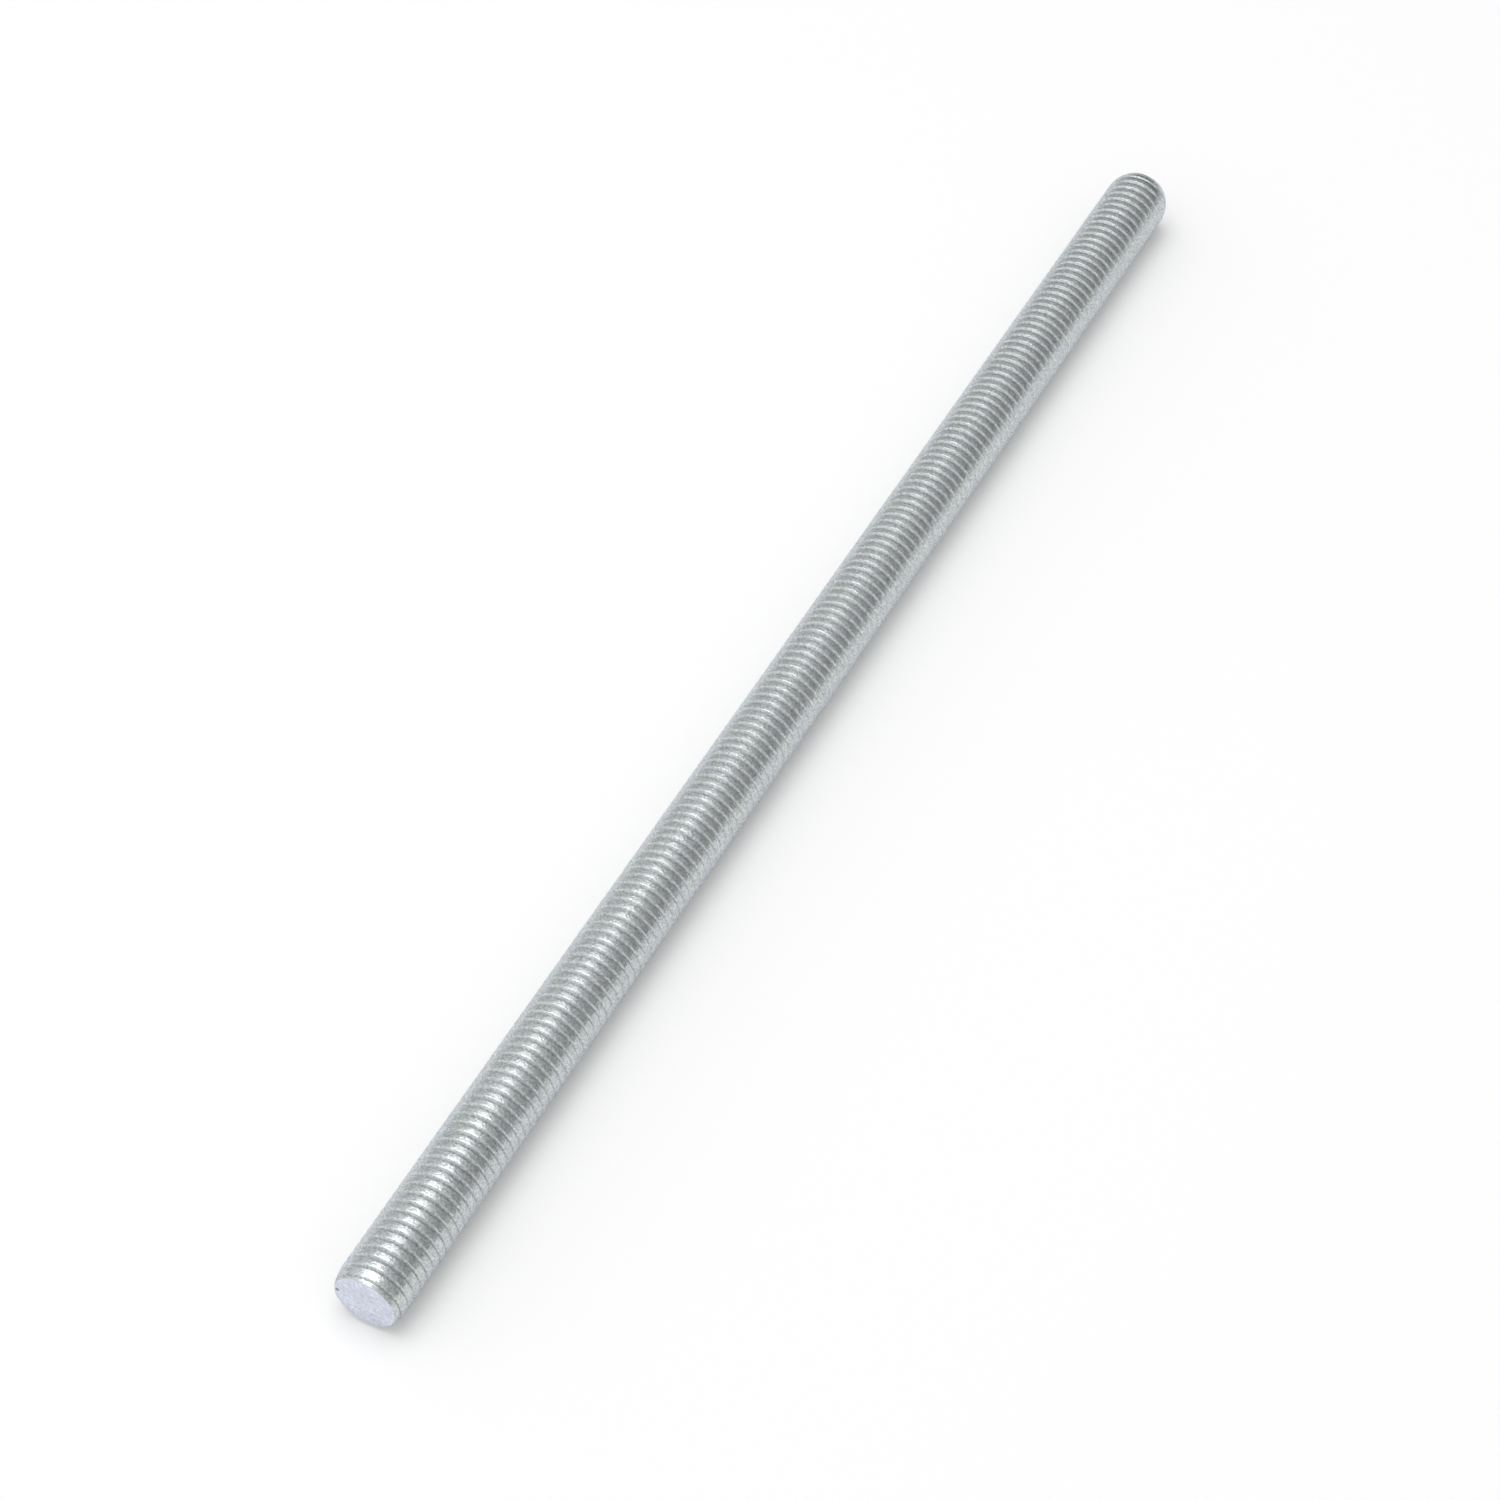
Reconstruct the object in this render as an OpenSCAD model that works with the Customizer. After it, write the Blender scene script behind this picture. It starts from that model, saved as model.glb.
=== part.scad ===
// Threaded rod: a straight steel bar with a metric thread over its whole length and a rounded nose at each end.
// The bar lies along X with its middle at the origin, in millimetres.

/* [Bar] */
// Length from one end face to the other
bar_len = 192; // [40:1:400]

/* [Thread] */
// Outside diameter, measured over the crests
thread_d = 8; // [6:0.25:12]
// Pitch, from one turn of the thread to the next
pitch = 1.25; // [1:0.05:1.75]
// Full angle between the two flanks of a groove
flank_angle = 60; // [50:1:70]
// Width of the land along the top of a crest
crest_w = 0.8; // [0.4:0.01:0.85]
// Width of the flat along the bottom of a groove
root_w = 0.08; // [0.04:0.01:0.12]

/* [Ends] */
// Length along the bar of the rounded nose at the -X end
near_nose_len = 2.2; // [1:0.1:4]
// How far that nose has come in from the crests at the end face
near_nose_depth = 0.4; // [0.1:0.05:0.8]
// Length along the bar of the rounded nose at the +X end
far_nose_len = 2.4; // [1:0.1:4]
// How far that nose has come in from the crests at the end face
far_nose_depth = 0.7; // [0.1:0.05:0.8]

/* [Hidden] */
$fn = 96;

thread_r = thread_d / 2;
half_len = bar_len / 2;

// A groove is this deep where its flanks, drawn at their angle, leave the two flats.
groove_depth = (pitch - crest_w - root_w) / 2 / tan(flank_angle / 2);
root_r = thread_r - groove_depth;

// Turns on each side of the middle, with one to spare past each end face.
side_turns = ceil(half_len / pitch) + 1;

// Straight steps along the arc of a nose, and how far the waste reaches clear of the bar.
nose_steps = 8;
waste_w = 3 * pitch;

// One turn of the thread's section: the flat of its groove and the land of its crest.
// Sections are drawn with x as the radius and y along the bar.
function turn_points(turn) = [
    [root_r, turn * pitch - root_w / 2],
    [root_r, turn * pitch + root_w / 2],
    [thread_r, (turn + 0.5) * pitch - crest_w / 2],
    [thread_r, (turn + 0.5) * pitch + crest_w / 2]
];

// The arc of a nose at the +y end, which leaves the crests along their own line and stops at the end face.
function nose_points(nose_len, nose_depth) =
    let (
        arc_r = (nose_len * nose_len + nose_depth * nose_depth) / (2 * nose_depth),
        sweep = asin(nose_len / arc_r)
    )
    [for (step = [0 : nose_steps])
        let (angle = sweep * step / nose_steps)
        [thread_r - arc_r * (1 - cos(angle)), half_len - nose_len + arc_r * sin(angle)]];

// Half section of an endless threaded bar.
module thread_section() {
    turns = [-side_turns : side_turns];
    polygon(concat(
        [[0, -side_turns * pitch - root_w / 2]],
        [for (turn = turns) each turn_points(turn)],
        [[0, (side_turns + 0.5) * pitch + crest_w / 2]]
    ));
}

// Half section of what is sawn and turned away at the +y end.
module end_waste(nose_len, nose_depth) {
    polygon(concat(
        nose_points(nose_len, nose_depth),
        [
            [0, half_len],
            [0, half_len + waste_w],
            [thread_r + waste_w, half_len + waste_w],
            [thread_r + waste_w, half_len - nose_len]
        ]
    ));
}

module threaded_rod() {
    color([0.76, 0.78, 0.77])
        rotate([0, 90, 0])
            rotate_extrude()
                difference() {
                    thread_section();
                    end_waste(far_nose_len, far_nose_depth);
                    mirror([0, 1]) end_waste(near_nose_len, near_nose_depth);
                }
}

threaded_rod();
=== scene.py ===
"""Looks of a zinc-plated threaded rod that lies on a plain white table.

The rod is one closed surface: a right-hand helical thread with rounded crests and grooves, sawn square
with a rounded nose at both ends. Lengths are in metres. An angle is in degrees where its name says so,
and an angle round the rod is a share of a whole turn, from +Y towards +Z.
"""

import logging
import math
from dataclasses import dataclass
from enum import Enum

import bmesh
import bpy
import numpy as np
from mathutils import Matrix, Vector


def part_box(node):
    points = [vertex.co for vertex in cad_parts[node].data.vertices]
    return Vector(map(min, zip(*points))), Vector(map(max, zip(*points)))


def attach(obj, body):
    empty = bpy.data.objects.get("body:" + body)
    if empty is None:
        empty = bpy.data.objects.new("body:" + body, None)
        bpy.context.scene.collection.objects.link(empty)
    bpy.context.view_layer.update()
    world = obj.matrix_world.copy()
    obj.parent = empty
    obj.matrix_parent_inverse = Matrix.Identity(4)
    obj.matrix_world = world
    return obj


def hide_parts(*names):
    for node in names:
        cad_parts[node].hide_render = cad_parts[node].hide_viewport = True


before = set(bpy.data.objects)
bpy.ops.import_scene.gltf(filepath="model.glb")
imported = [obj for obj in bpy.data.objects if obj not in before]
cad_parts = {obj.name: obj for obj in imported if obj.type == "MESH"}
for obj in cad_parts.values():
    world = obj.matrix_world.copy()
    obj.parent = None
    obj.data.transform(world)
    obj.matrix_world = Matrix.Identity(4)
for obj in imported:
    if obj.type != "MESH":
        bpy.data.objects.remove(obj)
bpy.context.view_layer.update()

LOG = logging.getLogger("threaded_rod")
MM = 0.001
NODE = "threaded_rod"
BODY = "root"
GROOVE_LAYER = "groove"
WHITE = (1.0, 1.0, 1.0)

Triple = tuple[float, float, float]
Feed = bpy.types.NodeSocket | float | tuple[float, ...]


class Side(Enum):
    """The two ends of the rod, as the sign of X at which each lies."""

    NEAR = -1
    FAR = 1


class Skin(Enum):
    """Which of the rod's materials a face wears, as its material index."""

    THREAD = 0
    SAWN = 1


def soft_minimum(
    first: np.ndarray, second: np.ndarray | float, width: np.ndarray | float
) -> np.ndarray:
    """The smaller of two values, with the corner between them rounded over.

    In words: half of first + second - sqrt((first - second)^2 + width^2).

    Args:
        first: The first values.
        second: The second values, or one for all.
        width: How wide the rounding is, for all or for each.

    Returns:
        The rounded smaller values.
    """
    return (first + second - np.sqrt((first - second) ** 2 + width**2)) / 2


def opaque(colour: Triple) -> tuple[float, float, float, float]:
    """The colour with full alpha, as a colour socket takes it."""
    return (*colour, 1.0)


def empty_group(name: str, inputs: dict[str, float], outputs: tuple[str, ...]) -> bpy.types.NodeTree:
    """Makes a node group that has only its sockets.

    Args:
        name: The group's name.
        inputs: The usual value of each input, by its name.
        outputs: The names of the outputs.

    Returns:
        The new node group.
    """
    tree = bpy.data.node_groups.new(name, "ShaderNodeTree")
    for label, usual in inputs.items():
        socket = tree.interface.new_socket(label, in_out="INPUT", socket_type="NodeSocketFloat")
        socket.default_value = usual
    for label in outputs:
        tree.interface.new_socket(label, in_out="OUTPUT", socket_type="NodeSocketFloat")
    return tree


@dataclass(frozen=True)
class NodeBench:
    """A node tree, with short ways to add nodes to it and to feed their inputs."""

    tree: bpy.types.NodeTree

    def feed(self, node: bpy.types.Node, feeds: dict[str | int, Feed]) -> None:
        """Sets or links a node's inputs.

        Args:
            node: The node.
            feeds: A plain value or another node's output, by the name or number of the input.
        """
        for key, source in feeds.items():
            if isinstance(source, bpy.types.NodeSocket):
                self.tree.links.new(source, node.inputs[key])
            else:
                node.inputs[key].default_value = source

    def add(
        self, kind: str, feeds: dict[str | int, Feed] | None = None, **settings: object
    ) -> bpy.types.Node:
        """Adds a node.

        Args:
            kind: The node's type.
            feeds: What goes into its inputs, as in feed.
            settings: Its own settings, such as its operation.

        Returns:
            The new node.
        """
        node = self.tree.nodes.new(kind)
        for setting, choice in settings.items():
            setattr(node, setting, choice)
        self.feed(node, feeds or {})
        return node

    def compute(self, operation: str, *terms: Feed) -> bpy.types.NodeSocket:
        """The value that a Math node works out from its terms."""
        return self.add("ShaderNodeMath", dict(enumerate(terms)), operation=operation).outputs["Value"]

    def mix(self, data_type: str, factor: Feed, first: Feed, second: Feed) -> bpy.types.NodeSocket:
        """The mixture of two colours or values, from all of the first at factor 0 to all of the second."""
        feeds = {"Factor": factor, "A": first, "B": second}
        return self.add("ShaderNodeMix", feeds, data_type=data_type).outputs["Result"]

    def remap(
        self, value: Feed, low: float, high: float, at_low: float = 0.0, at_high: float = 1.0,
        interpolation: str = "LINEAR",
    ) -> bpy.types.NodeSocket:
        """A value carried over from one range to another, and held at the ends of that range.

        Args:
            value: The value.
            low: Where it gives at_low.
            high: Where it gives at_high.
            at_low: The result at low and beyond it.
            at_high: The result at high and beyond it.
            interpolation: How the result runs between the two.

        Returns:
            The result.
        """
        feeds = {"Value": value, "From Min": low, "From Max": high, "To Min": at_low, "To Max": at_high}
        return self.add("ShaderNodeMapRange", feeds, interpolation_type=interpolation).outputs["Result"]


@dataclass(frozen=True)
class ThreadForm:
    """Section of the thread, as a radius that depends on where a point lies along and round the rod."""

    outer_radius: float
    pitch: float = 1.25 * MM
    flank_angle_deg: float = 60.0
    crest_flat: float = 0.80 * MM
    crest_crown: float = 0.008 * MM
    root_flat: float = 0.08 * MM
    crest_rounding: float = 0.038 * MM
    root_rounding: float = 0.05 * MM
    corner_stations: tuple[float, ...] = (-0.5, 0.0, 0.5, 1.5)
    start_turn: float = 0.32

    @property
    def flank_rise(self) -> float:
        """Rise of a flank for each unit along the rod."""
        return 1.0 / math.tan(math.radians(self.flank_angle_deg / 2))

    @property
    def depth(self) -> float:
        """Depth of the groove, from where the two flats leave room for the flanks."""
        return (self.pitch - self.crest_flat - self.root_flat) / 2 * self.flank_rise

    @property
    def pulled_in(self) -> float:
        """How far the rounding would pull the top of the crest in, which the radius makes good."""
        over = self.crest_flat / 2 * self.flank_rise
        return (math.sqrt(over**2 + self.crest_rounding**2) - over) / 2

    def stations(self) -> np.ndarray:
        """Places across one turn that the mesh needs, as shares of the pitch from the groove's middle.

        They stand at the groove's middle, where its flat ends, round the crest's corner at the corner
        stations times the rounding, halfway from there to the crest's middle, and at that middle.

        Returns:
            Rising shares in [0, 1), the second half of which are the first ones mirrored.
        """
        half = self.pitch / 2
        corner = half - self.crest_flat / 2 + np.array(self.corner_stations) * self.crest_rounding
        steps = np.array([self.root_flat / 2, *corner, (corner[-1] + half) / 2])
        return np.concatenate([[0.0], steps, [half], self.pitch - steps[::-1]]) / self.pitch

    def radius(self, x: np.ndarray, turn: np.ndarray) -> np.ndarray:
        """Radius of the endless thread.

        With u the distance along the rod to the middle of the nearest groove, a flank lies at
        root radius + (u - half the root flat) * rise. The top of the crest falls off from its middle by
        crown * (distance from the middle / half the crest)^2. A soft minimum of the two rounds the crest's
        corner, and a soft maximum, which is a soft minimum of the values turned negative, rounds the
        bottom of the groove.

        Args:
            x: Places along the rod.
            turn: Angle round the rod, as a share of a whole turn.

        Returns:
            The radius at each place.
        """
        share = x / self.pitch - turn - self.start_turn
        from_groove = np.abs(share - np.round(share)) * self.pitch
        root_radius = self.outer_radius - self.depth
        flank = root_radius + (from_groove - self.root_flat / 2) * self.flank_rise
        from_middle = (self.pitch / 2 - from_groove) / (self.crest_flat / 2)
        top = self.outer_radius + self.pulled_in - self.crest_crown * from_middle**2
        crested = soft_minimum(flank, top, self.crest_rounding)
        return -soft_minimum(-crested, -root_radius, self.root_rounding)

    def groove_share(self, x: np.ndarray, turn: np.ndarray) -> np.ndarray:
        """How deep in the groove of the endless thread each place lies.

        On a nose, which has taken the crests away, it still tells the groove's line from the land, so that
        the painted groove shade draws that line on the nose as well, also where the nose has cut the groove
        away.

        Args:
            x: Places along the rod.
            turn: Angle round the rod, as a share of a whole turn.

        Returns:
            0 on the land, rising to 1 at the groove's bottom.
        """
        return np.clip((self.outer_radius - self.radius(x, turn)) / self.depth, 0.0, 1.0)


@dataclass(frozen=True)
class RoundedNose:
    """One sawn end of the rod: the nose turned round over its crests, and its face's rolled edge."""

    side: Side
    length: float
    depth: float
    edge_length: float = 0.16 * MM
    edge_depth: float = 0.07 * MM

    @property
    def arc_radius(self) -> float:
        """Radius of the arc that leaves the crests along their own line and is the depth in at the face."""
        return (self.length**2 + self.depth**2) / (2 * self.depth)

    def limit(self, x: np.ndarray, half_length: float, outer_radius: float) -> np.ndarray:
        """Largest radius that the nose leaves.

        With t the distance that a place lies inside the nose, the limit is
        the outer radius - arc radius + sqrt(arc radius^2 - t^2). Along the last edge length, the edge of
        the end face is rolled over by a further edge depth * (distance into that length / that length)^2.

        Args:
            x: Places along the rod.
            half_length: Distance from the rod's middle to its end face.
            outer_radius: Radius over the crests.

        Returns:
            The limit at each place.
        """
        inside = np.clip(self.side.value * x - (half_length - self.length), 0.0, self.length)
        rolled = np.clip(inside - (self.length - self.edge_length), 0.0, None) / self.edge_length
        arc = np.sqrt(self.arc_radius**2 - inside**2) - self.arc_radius
        return outer_radius + arc - self.edge_depth * rolled**2


@dataclass(frozen=True)
class RimNick:
    """The node group of the painted shade of a small dent at the rim of an end face, where the rod has been
    knocked; the surface itself has no dent there.
    """

    centre: Triple
    size: float = 0.30 * MM
    core: float = 0.12 * MM
    name: str = "rim_nick_shade"

    def build(self) -> bpy.types.NodeTree:
        """Makes the group, whose mask of painted shade falls from 1 inside the dent's core to 0 at its
        size.

        Returns:
            The new node group.
        """
        bench = NodeBench(empty_group(self.name, {}, ("Mask",)))
        point = bench.add("ShaderNodeTexCoord").outputs["Object"]
        away = bench.add("ShaderNodeVectorMath", {0: point, 1: self.centre}, operation="DISTANCE")
        bench.add("NodeGroupOutput", {"Mask": bench.remap(away.outputs["Value"], self.size, self.core)})
        return bench.tree


@dataclass(frozen=True)
class PlatingClouds:
    """The node group that all the plating shares: cloudy tint, patchy roughness and grain.

    The grain is drawn out round the rod by the streak ratio, and the cloud range is the stretch of the
    noise over which the tint runs from cool to warm.
    """

    name: str = "plating_clouds"
    cloud_size: float = 2.4 * MM
    cloud_detail: float = 3.0
    cloud_range: tuple[float, float] = (0.32, 0.68)
    patch_size: float = 0.7 * MM
    patch_detail: float = 4.0
    roughness_spread: float = 0.10
    grain_detail: float = 3.0
    streak_ratio: float = 1.5
    usual_grain_mm: float = 0.2
    usual_roughness: float = 0.3

    def build(self) -> bpy.types.NodeTree:
        """Makes the group, with inputs for the grain's size in millimetres and the mean roughness.

        Returns:
            The new node group.
        """
        inputs = {"Grain Size": self.usual_grain_mm, "Roughness": self.usual_roughness}
        bench = NodeBench(empty_group(self.name, inputs, ("Tint", "Roughness", "Grain")))
        given = bench.add("NodeGroupInput").outputs
        point = bench.add("ShaderNodeTexCoord").outputs["Object"]

        clouds = self._noise(bench, point, 1.0 / self.cloud_size, self.cloud_detail)
        patches = self._noise(bench, point, 1.0 / self.patch_size, self.patch_detail)
        swing = bench.compute("MULTIPLY_ADD", patches, 2.0 * self.roughness_spread, -self.roughness_spread)
        squeeze = (1.0, 1.0 / self.streak_ratio, 1.0 / self.streak_ratio)
        streaks = bench.add("ShaderNodeVectorMath", {0: point, 1: squeeze}, operation="MULTIPLY")
        scale = bench.compute("DIVIDE", 1.0 / MM, given["Grain Size"])
        feeds = {
            "Tint": bench.remap(clouds, *self.cloud_range),
            "Roughness": bench.compute("ADD", swing, given["Roughness"]),
            "Grain": self._noise(bench, streaks.outputs["Vector"], scale, self.grain_detail),
        }
        bench.add("NodeGroupOutput", feeds)
        return bench.tree

    @staticmethod
    def _noise(bench: NodeBench, point: Feed, scale: Feed, detail: float) -> bpy.types.NodeSocket:
        """The value of a new noise texture at a point."""
        feeds = {"Vector": point, "Scale": scale, "Detail": detail}
        return bench.add("ShaderNodeTexNoise", feeds).outputs["Fac"]


@dataclass(frozen=True)
class ZincPlate:
    """Bright zinc plating: a satin metal with cloudy tints, a speckled grain, and rougher grooves darkened
    with painted shade.

    The groove range is the stretch of the groove's share over which the roughness turns to the groove's own
    and the colour turns to the groove colour, a painted shade that darkens the groove. The speckle range is
    the stretch of the grain over which the colour runs from 1 - speckle to 1 + speckle times itself. The
    dark colour in the nick at the rim is painted shade of a dent that the surface doesn't have.
    """

    name: str
    cool: Triple
    warm: Triple
    groove: Triple
    edge_tint: Triple
    roughness: float
    groove_roughness: float
    grain_size: float
    grain_height: float
    speckle: float
    groove_range: tuple[float, float] = (0.45, 0.90)
    speckle_range: tuple[float, float] = (0.30, 0.70)
    # Painted shade: the dark colour in the nick at the rim stands in for a dent's shade.
    nick_shade: Triple = (0.22, 0.21, 0.24)

    def material(self, clouds: bpy.types.NodeTree, nick: bpy.types.NodeTree) -> bpy.types.Material:
        """Makes the material.

        Args:
            clouds: The node group of tints and grain that all the plating shares.
            nick: The node group of the painted shade of a dent at the rim.

        Returns:
            The new material.
        """
        material = bpy.data.materials.new(self.name)
        material.use_nodes = True
        bench = NodeBench(material.node_tree)
        given = {"Grain Size": self.grain_size / MM, "Roughness": self.roughness}
        cloudy = bench.add("ShaderNodeGroup", given, node_tree=clouds)
        dent = bench.add("ShaderNodeGroup", node_tree=nick).outputs["Mask"]
        depth = bench.add("ShaderNodeAttribute", attribute_name=GROOVE_LAYER).outputs["Fac"]
        sunk = bench.remap(depth, *self.groove_range)
        grain = cloudy.outputs["Grain"]

        plating = bench.mix("RGBA", cloudy.outputs["Tint"], opaque(self.cool), opaque(self.warm))
        # Painted shade: the colour darkens towards the bottom of the groove.
        groove_shaded = bench.mix("RGBA", sunk, plating, opaque(self.groove))
        # Painted shade of a dent: a dark mark in the nick at the rim, where the surface has no dent.
        nick_shaded = bench.mix("RGBA", dent, groove_shaded, opaque(self.nick_shade))
        gain = bench.remap(grain, *self.speckle_range, 1.0 - self.speckle, 1.0 + self.speckle)
        speckled = bench.add("ShaderNodeVectorMath", {0: nick_shaded, "Scale": gain}, operation="SCALE")
        relief = {"Strength": 1.0, "Distance": self.grain_height, "Height": grain}
        shader_feeds = {
            "Metallic": 1.0,
            "Specular Tint": opaque(self.edge_tint),
            "Base Color": speckled.outputs["Vector"],
            "Roughness": bench.mix("FLOAT", sunk, cloudy.outputs["Roughness"], self.groove_roughness),
            "Normal": bench.add("ShaderNodeBump", relief).outputs["Normal"],
        }
        bench.feed(bench.tree.nodes["Principled BSDF"], shader_feeds)
        return material


@dataclass
class ThreadedRod:
    """The rod: its thread, its two ends and its plating.

    The nick, a dark mark of painted shade for a dent that the surface doesn't have, lies on the near end
    face, at its own radius and its own angle from +Y towards +Z.
    """

    half_length: float
    thread: ThreadForm
    ends: tuple[RoundedNose, RoundedNose] = (
        RoundedNose(Side.NEAR, length=2.2 * MM, depth=0.40 * MM),
        RoundedNose(Side.FAR, length=2.4 * MM, depth=0.70 * MM),
    )
    end_rounding: float = 0.04 * MM
    steps_round: int = 44
    spare_turns: int = 2
    sharp_deg: float = 40.0
    nick_radius: float = 3.2 * MM
    nick_deg: float = 4.0
    plate: ZincPlate = ZincPlate(
        name="zinc_plate",
        cool=(0.575, 0.605, 0.625),
        warm=(0.58, 0.615, 0.60),
        # Painted shade: the groove colour darkens the grooves where shade falls.
        groove=(0.46, 0.48, 0.49),
        edge_tint=(0.88, 0.92, 1.0),
        roughness=0.29,
        groove_roughness=0.50,
        grain_size=0.20 * MM,
        grain_height=0.046 * MM,
        speckle=0.30,
    )
    sawn_plate: ZincPlate = ZincPlate(
        name="sawn_zinc_plate",
        cool=(0.61, 0.64, 0.735),
        warm=(0.72, 0.75, 0.83),
        groove=(0.61, 0.64, 0.735),
        edge_tint=WHITE,
        roughness=0.46,
        groove_roughness=0.46,
        grain_size=0.30 * MM,
        grain_height=0.04 * MM,
        speckle=0.16,
    )

    @classmethod
    def from_frame(cls) -> "ThreadedRod":
        """The rod with the sizes of the CAD node's box."""
        _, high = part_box(NODE)
        return cls(half_length=high[0], thread=ThreadForm(outer_radius=high[2]))

    def limit(self, x: np.ndarray) -> np.ndarray:
        """Largest radius that the crests and both noses leave at places along the rod."""
        outer_radius = self.thread.outer_radius
        return np.minimum(*(end.limit(x, self.half_length, outer_radius) for end in self.ends))

    def place(self, x: np.ndarray, turn: np.ndarray) -> np.ndarray:
        """Points on the finished surface: the thread's radius, held back by both noses.

        Args:
            x: Places along the rod.
            turn: Angle round the rod, as a share of a whole turn.

        Returns:
            The points, with X, Y and Z as the last axis.
        """
        limit = self.limit(x)
        rounding = np.minimum(self.thread.outer_radius - limit, self.end_rounding)
        radius = soft_minimum(self.thread.radius(x, turn), limit, rounding)
        angle = 2 * np.pi * turn
        return np.stack([x, radius * np.cos(angle), radius * np.sin(angle)], axis=-1)

    def helical_grid(self) -> tuple[np.ndarray, np.ndarray]:
        """The thread's surface as a grid that follows the helix.

        Row j, column m stands at angle 2 pi m / steps, and at x = pitch * (row's share + m / steps), so
        that a row climbs one pitch in one turn and its last column meets the row one turn on.

        Returns:
            The points, rows * columns by 3, and the quads as point numbers.
        """
        form, columns = self.thread, self.steps_round
        shares = form.stations()
        turns = math.ceil(self.half_length / form.pitch) + self.spare_turns
        rows = (np.arange(-turns, turns)[:, None] + shares[None, :]).ravel() + form.start_turn
        turn = np.arange(columns) / columns
        x = form.pitch * (rows[:, None] + turn[None, :])
        points = self.place(x, np.broadcast_to(turn, x.shape))

        # The rows of the last turn have no row one turn on, so they only close the turn before them.
        one_turn = len(shares)
        kept = len(rows) - one_turn - 1
        number = np.arange(len(rows) * columns).reshape(len(rows), columns)
        here, after = number[:kept], number[1 : kept + 1]
        next_here = np.hstack([here[:, 1:], number[one_turn : one_turn + kept, :1]])
        next_after = np.hstack([after[:, 1:], number[one_turn + 1 : one_turn + kept + 1, :1]])
        quads = np.stack([here, next_here, next_after, after], axis=-1).reshape(-1, 4)
        return points.reshape(-1, 3), quads

    def build(self) -> bpy.types.Object:
        """Makes the rod, dresses it and puts it in the CAD node's place.

        Returns:
            The rod's object.
        """
        points, quads = self.helical_grid()
        mesh = bpy.data.meshes.new(NODE + "_surface")
        mesh.from_pydata(points, [], quads)
        self._trim(mesh)
        self._smooth(mesh)
        self._mark_groove(mesh)
        rod = bpy.data.objects.new(NODE + "_finished", mesh)
        bpy.context.collection.objects.link(rod)
        self._dress(mesh)
        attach(rod, BODY)
        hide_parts(NODE)
        LOG.info("rod: %d vertices, %d faces", len(mesh.vertices), len(mesh.polygons))
        return rod

    def _trim(self, mesh: bpy.types.Mesh) -> None:
        """Saws the grid square at both ends and closes it with flat faces.

        Args:
            mesh: The endless grid, changed in place.
        """
        grid = bmesh.new()
        grid.from_mesh(mesh)
        for end in self.ends:
            outwards = Vector((end.side.value, 0.0, 0.0))
            cut = bmesh.ops.bisect_plane(
                grid,
                geom=[*grid.verts, *grid.edges, *grid.faces],
                plane_co=outwards * self.half_length,
                plane_no=outwards,
                clear_outer=True,
            )
            rim = [item for item in cut["geom_cut"] if isinstance(item, bmesh.types.BMEdge)]
            for face in bmesh.ops.contextual_create(grid, geom=rim)["faces"]:
                face.material_index = Skin.SAWN.value
        bmesh.ops.recalc_face_normals(grid, faces=grid.faces)
        grid.to_mesh(mesh)
        grid.free()

    def _smooth(self, mesh: bpy.types.Mesh) -> None:
        """Smooths the thread between its sharp edges and leaves the sawn faces flat.

        Args:
            mesh: The trimmed surface, changed in place.
        """
        skins = np.empty(len(mesh.polygons), dtype=np.int32)
        mesh.polygons.foreach_get("material_index", skins)
        mesh.polygons.foreach_set("use_smooth", skins == Skin.THREAD.value)
        mesh.set_sharp_from_angle(angle=math.radians(self.sharp_deg))

    def _mark_groove(self, mesh: bpy.types.Mesh) -> None:
        """Stores how deep in the groove each point lies, for the plating to read: it makes the grooves
        rougher and darkens them with painted shade.

        Args:
            mesh: The trimmed surface, changed in place.
        """
        points = np.empty(len(mesh.vertices) * 3, dtype=np.float32)
        mesh.vertices.foreach_get("co", points)
        x, y, z = points.reshape(-1, 3).astype(np.float64).T
        share = self.thread.groove_share(x, np.arctan2(z, y) / (2 * np.pi))
        layer = mesh.attributes.new(GROOVE_LAYER, "FLOAT", "POINT")
        layer.data.foreach_set("value", share.astype(np.float32))
        mesh.update()

    def _dress(self, mesh: bpy.types.Mesh) -> None:
        """Gives the surface its two materials, in the order that Skin numbers them.

        Args:
            mesh: The trimmed surface, changed in place.
        """
        clouds = PlatingClouds().build()
        # The nick at the rim is a dark mark of painted shade, placed on the near end face.
        angle = math.radians(self.nick_deg)
        across, up = self.nick_radius * math.cos(angle), self.nick_radius * math.sin(angle)
        nick = RimNick(centre=(-self.half_length, across, up)).build()
        for plate in (self.plate, self.sawn_plate):
            mesh.materials.append(plate.material(clouds, nick))


@dataclass(frozen=True)
class Softbox:
    """A rectangular soft lamp that hangs at its place and faces its aim."""

    name: str
    place: Triple
    aim: Triple
    size: tuple[float, float]
    power: float
    spread_deg: float = 180.0

    def build(self) -> bpy.types.Object:
        """Makes the lamp.

        Returns:
            The lamp's object.
        """
        lamp = bpy.data.lights.new(self.name, "AREA")
        lamp.shape = "RECTANGLE"
        lamp.size, lamp.size_y = self.size
        lamp.energy = self.power
        lamp.spread = math.radians(self.spread_deg)
        box = bpy.data.objects.new(self.name, lamp)
        box.location = self.place
        box.rotation_euler = (Vector(self.aim) - Vector(self.place)).to_track_quat("-Z", "Y").to_euler()
        bpy.context.collection.objects.link(box)
        return box


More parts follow.
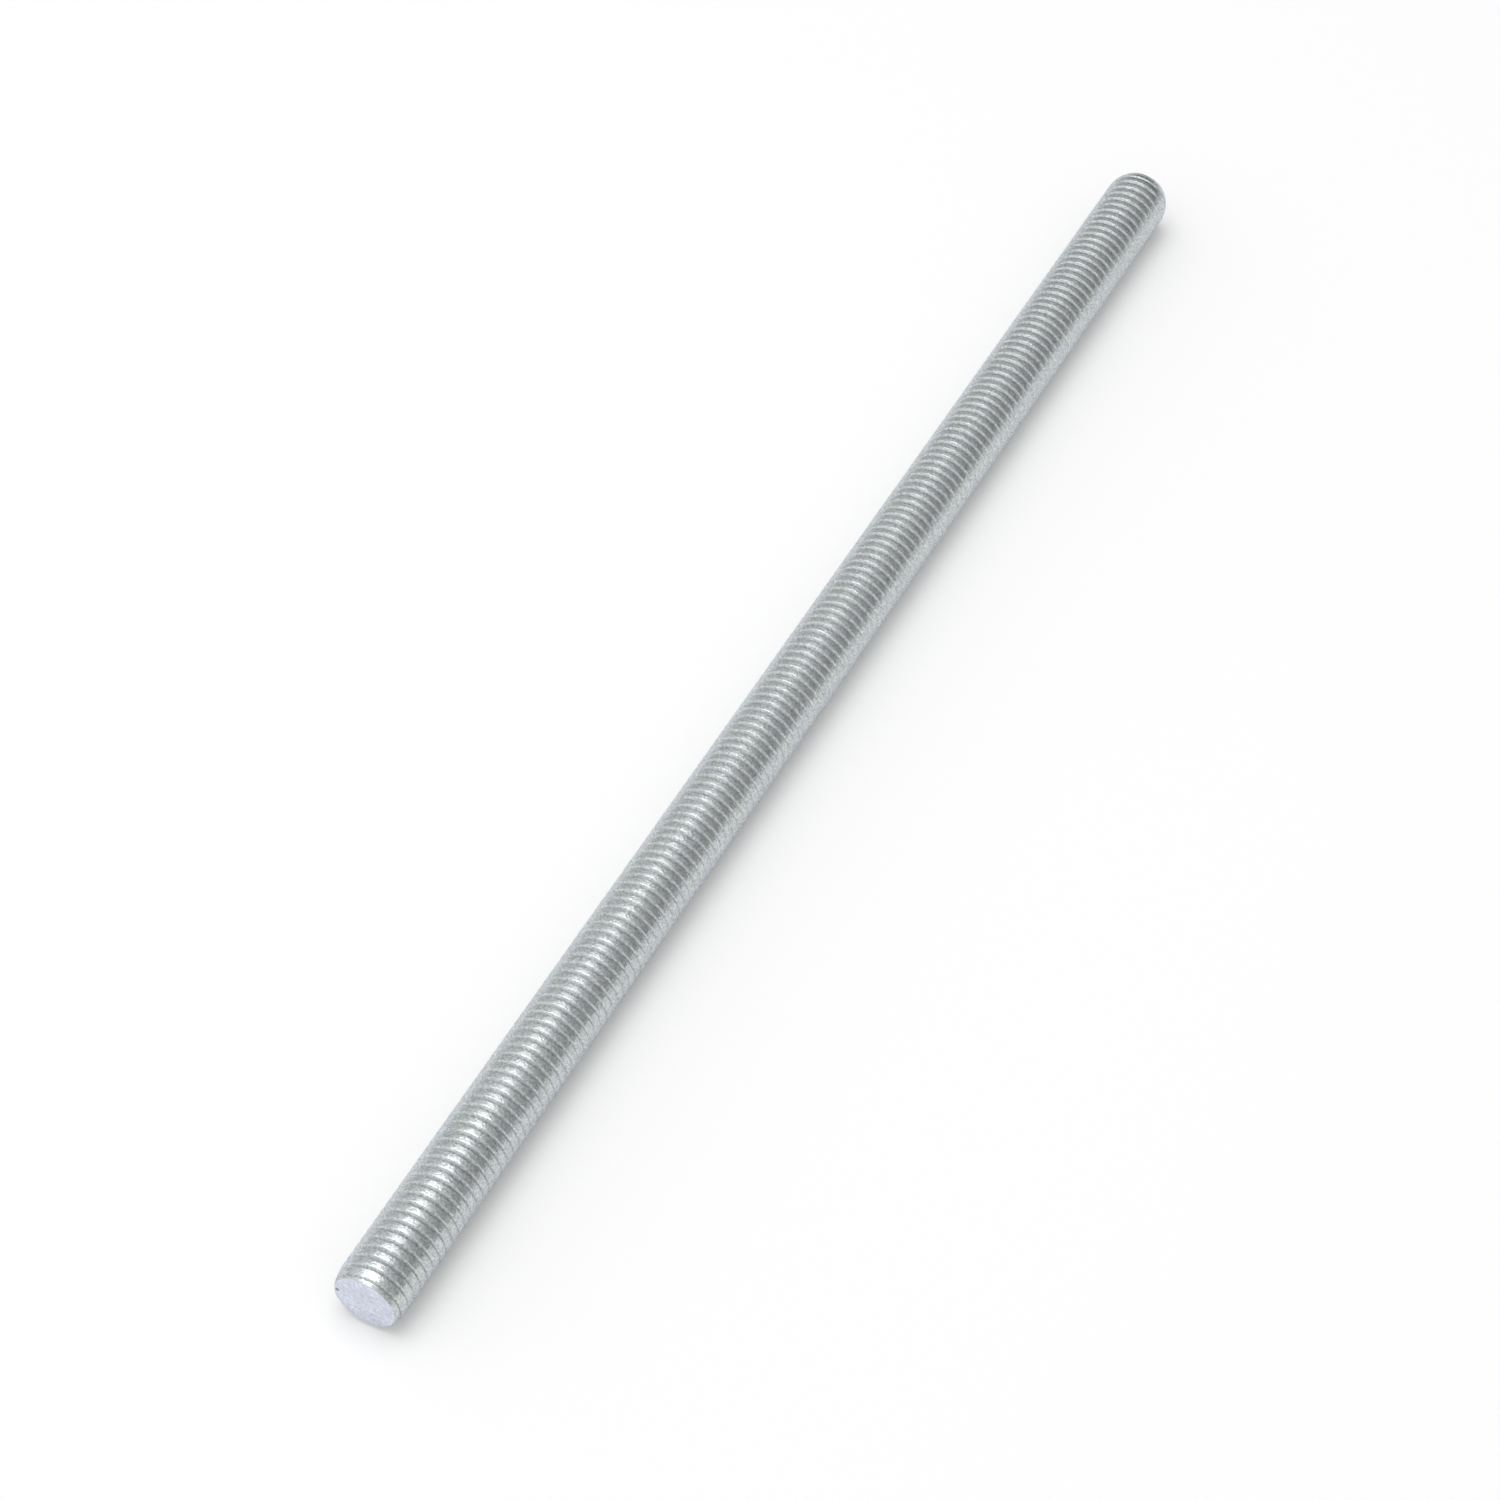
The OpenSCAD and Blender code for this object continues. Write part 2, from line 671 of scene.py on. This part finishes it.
@dataclass
class Studio:
    """White table, pale surroundings and one soft lamp overhead.

    Each gain says by what share the surroundings are brighter straight along +X (ahead), +Y (left) or
    +Z (zenith). The dark range is the stretch of a direction's X over which they fall to the dark level.
    """

    table_height: float
    table_size: float = 6.0
    table_colour: Triple = (0.84, 0.84, 0.84)
    table_roughness: float = 0.9
    table_lift: float = 0.118
    surround_level: float = 0.54
    ahead_gain: float = -0.50
    left_gain: float = 0.32
    zenith_gain: float = 0.60
    dark_range: tuple[float, float] = (0.62, 1.0)
    dark_level: float = 0.25
    lamp: Softbox = Softbox(
        name="overhead_softbox",
        place=(-0.015, 0.092, 0.85),
        aim=(-0.085, 0.0, 0.0),
        size=(0.69, 0.64),
        power=2.75,
    )

    def build(self) -> None:
        """Makes the table, the surroundings and the lamp."""
        self._table()
        self._surroundings()
        self.lamp.build()
        LOG.info("studio: table, surroundings and lamp")

    def _table(self) -> None:
        """A flat white table that keeps the rod's shadow, lifted to white where it is seen or mirrored."""
        half = self.table_size / 2
        corners = [(-half, -half), (half, -half), (half, half), (-half, half)]
        mesh = bpy.data.meshes.new("white_table")
        mesh.from_pydata([(x, y, self.table_height) for x, y in corners], [], [(0, 1, 2, 3)])
        table = bpy.data.objects.new("white_table", mesh)
        bpy.context.collection.objects.link(table)
        material = bpy.data.materials.new("white_table")
        material.use_nodes = True
        bench = NodeBench(material.node_tree)
        path = bench.add("ShaderNodeLightPath").outputs
        seen = bench.compute("ADD", path["Is Camera Ray"], path["Is Glossy Ray"])
        shown = bench.compute("ADD", seen, path["Is Transmission Ray"])
        shader_feeds = {
            "Base Color": opaque(self.table_colour),
            "Roughness": self.table_roughness,
            "Emission Color": opaque(WHITE),
            "Emission Strength": bench.compute("MULTIPLY", shown, self.table_lift),
        }
        bench.feed(bench.tree.nodes["Principled BSDF"], shader_feeds)
        mesh.materials.append(material)

    def _surroundings(self) -> None:
        """A plain pale grey world, brighter overhead and on the left, and darker ahead along the rod.

        In a direction d its strength is level * (1 + the gains times d), which over the dark range falls
        smoothly to the dark level's share of that.
        """
        world = bpy.data.worlds.new("pale_surroundings")
        bpy.context.scene.world = world
        world.use_nodes = True
        bench = NodeBench(world.node_tree)
        direction = bench.add("ShaderNodeTexCoord").outputs["Generated"]
        gains = (self.ahead_gain, self.left_gain, self.zenith_gain)
        slope = bench.add("ShaderNodeVectorMath", {0: direction, 1: gains}, operation="DOT_PRODUCT")
        level = self.surround_level
        shade = bench.compute("MULTIPLY_ADD", slope.outputs["Value"], level, level)
        ahead = bench.add("ShaderNodeSeparateXYZ", {"Vector": direction}).outputs["X"]
        dark_side = bench.remap(ahead, *self.dark_range, 1.0, self.dark_level, "SMOOTHSTEP")
        feeds = {"Color": opaque(WHITE), "Strength": bench.compute("MULTIPLY", shade, dark_side)}
        bench.feed(bench.tree.nodes["Background"], feeds)


@dataclass
class PhotoCamera:
    """The camera, placed as the photograph's was: near one end, looking along and down on the rod."""

    heading_deg: float = 27.69
    elevation_deg: float = 48.43
    distance: float = 0.4584
    aim: Triple = (-0.01203, 0.00020, 0.0)
    focal_px: float = 4059.3
    frame_px: float = 1500.0
    sensor_width: float = 36.0
    nearest_seen: float = 0.01

    def build(self) -> bpy.types.Object:
        """Makes the camera and gives it to the scene.

        Returns:
            The camera's object.
        """
        data = bpy.data.cameras.new("photo_camera")
        data.sensor_width = self.sensor_width
        data.lens = self.focal_px / self.frame_px * self.sensor_width
        data.clip_start = self.nearest_seen
        camera = bpy.data.objects.new("photo_camera", data)
        heading, elevation = math.radians(self.heading_deg), math.radians(self.elevation_deg)
        level = math.cos(elevation)
        forward = Vector((level * math.cos(heading), level * math.sin(heading), -math.sin(elevation)))
        camera.location = Vector(self.aim) - forward * self.distance
        camera.rotation_euler = forward.to_track_quat("-Z", "Y").to_euler()
        bpy.context.collection.objects.link(camera)
        bpy.context.scene.camera = camera
        LOG.info("camera: %.1f mm lens, %.0f mm from the rod", data.lens, self.distance / MM)
        return camera


def main() -> None:
    logging.basicConfig(level=logging.INFO, format="%(name)s: %(message)s")
    bpy.context.scene.view_settings.view_transform = "Standard"
    rod = ThreadedRod.from_frame()
    rod.build()
    Studio(table_height=-rod.thread.outer_radius).build()
    PhotoCamera().build()


if __name__ == "__main__":
    main()
